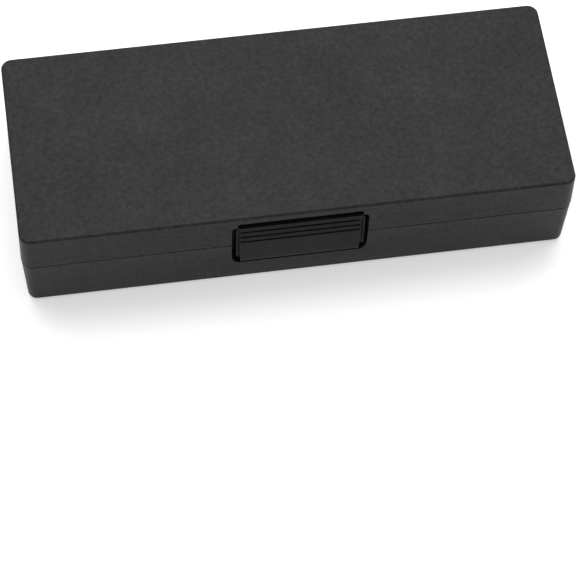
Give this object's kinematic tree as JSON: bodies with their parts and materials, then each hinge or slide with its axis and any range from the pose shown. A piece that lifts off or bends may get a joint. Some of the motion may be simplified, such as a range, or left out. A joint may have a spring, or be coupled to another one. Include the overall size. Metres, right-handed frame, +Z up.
{
  "type": "hinged instrument case",
  "caption": "Black hinged plastic carrying case for a small mouth organ, with a deep base, a shallow lid, a cut-out foam bed and a pinned latch flap across the front seam.",
  "frame": {"origin": "centre of the base's flat underside", "axes": "+X along the case, -Y out of the front where the latch is, +Z up through the lid"},
  "size_m": [0.13, 0.0573, 0.0272],
  "materials": {
    "shell_plastic": "black moulded plastic with a fine spark-eroded grain",
    "latch_plastic": "black moulded plastic, slightly smoother than the shells",
    "pin_steel": "drawn steel wire, cut square",
    "foam": "charcoal closed-cell foam"
  },
  "bodies": {
    "base": {"base_shell": "shell_plastic", "hinge_pin_left": "pin_steel", "hinge_pin_right": "pin_steel", "latch_pin": "pin_steel", "bed_floor": "foam", "bed_block": "foam"},
    "lid": {"lid_shell": "shell_plastic", "lid_pad": "foam"},
    "latch": {"latch_flap": "latch_plastic"}
  },
  "joints": [
    {"name": "lid_hinge", "type": "hinge", "parent": "base", "child": "lid", "pos_m": [0, 0.0281, 0.0162], "axis": [-1, 0, 0], "range_deg": [0, 110]},
    {"name": "latch_pivot", "type": "hinge", "parent": "base", "child": "latch", "pos_m": [0, -0.0237, 0.0093], "axis": [1, 0, 0], "range_deg": [0, 68]}
  ]
}
